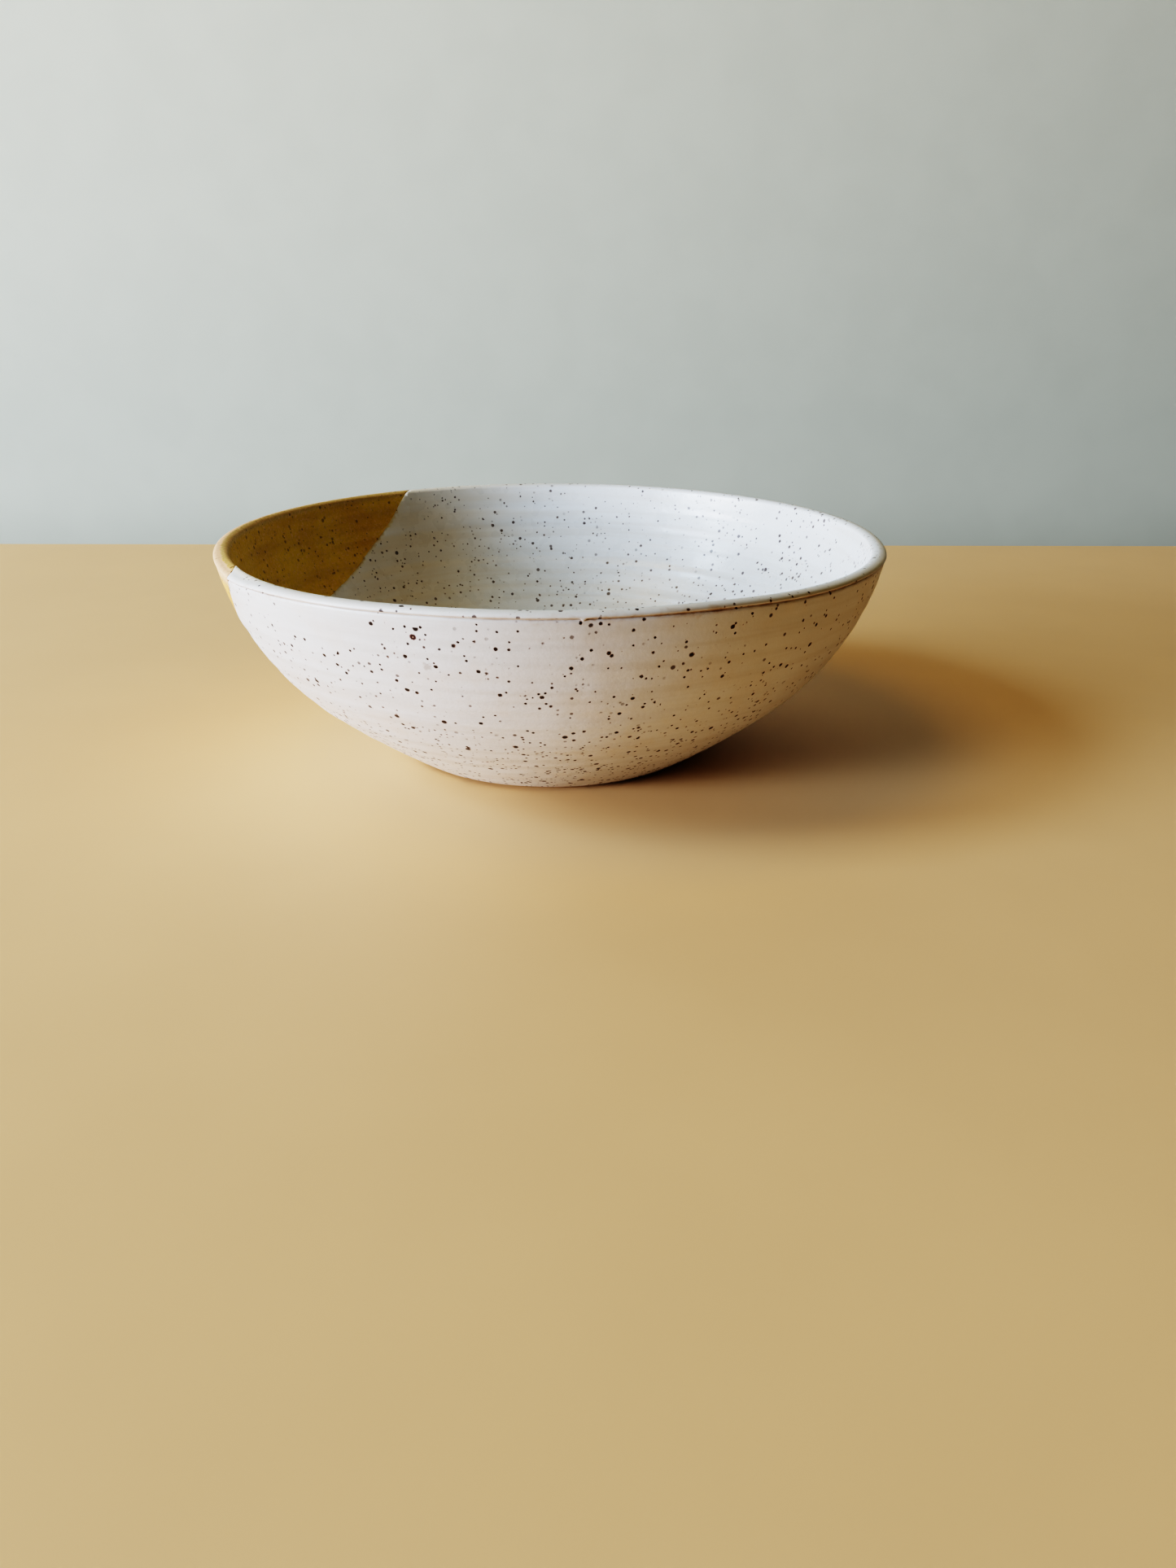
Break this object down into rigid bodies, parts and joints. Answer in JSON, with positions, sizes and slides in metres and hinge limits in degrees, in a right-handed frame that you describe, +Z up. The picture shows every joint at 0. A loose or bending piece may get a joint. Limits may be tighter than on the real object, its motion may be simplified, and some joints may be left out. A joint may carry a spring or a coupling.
{
  "type": "yarn bowl",
  "caption": "Low wheel-thrown stoneware bowl with a rounded lip, speckled white glaze inside and out, and an ochre glaze dip across one side of the rim.",
  "frame": {"origin": "centre of the foot ring's resting face, on the table", "axes": "+Z up along the bowl's axis; the ochre dip is on the -X side, slightly towards +Y, and -Y is the bowl's front"},
  "size_m": [0.196, 0.196, 0.065],
  "materials": {
    "stoneware": "bare fired speckled stoneware, matt",
    "white_glaze": "satin warm white glaze with brown iron speckles, breaking to rust at edges",
    "ochre_glaze": "satin mustard ochre glaze with brown iron speckles"
  },
  "bodies": {
    "root": {"clay_body": "stoneware", "white_liner_glaze": "white_glaze", "white_outer_glaze": "white_glaze", "ochre_dip_glaze": "ochre_glaze"}
  },
  "joints": []
}
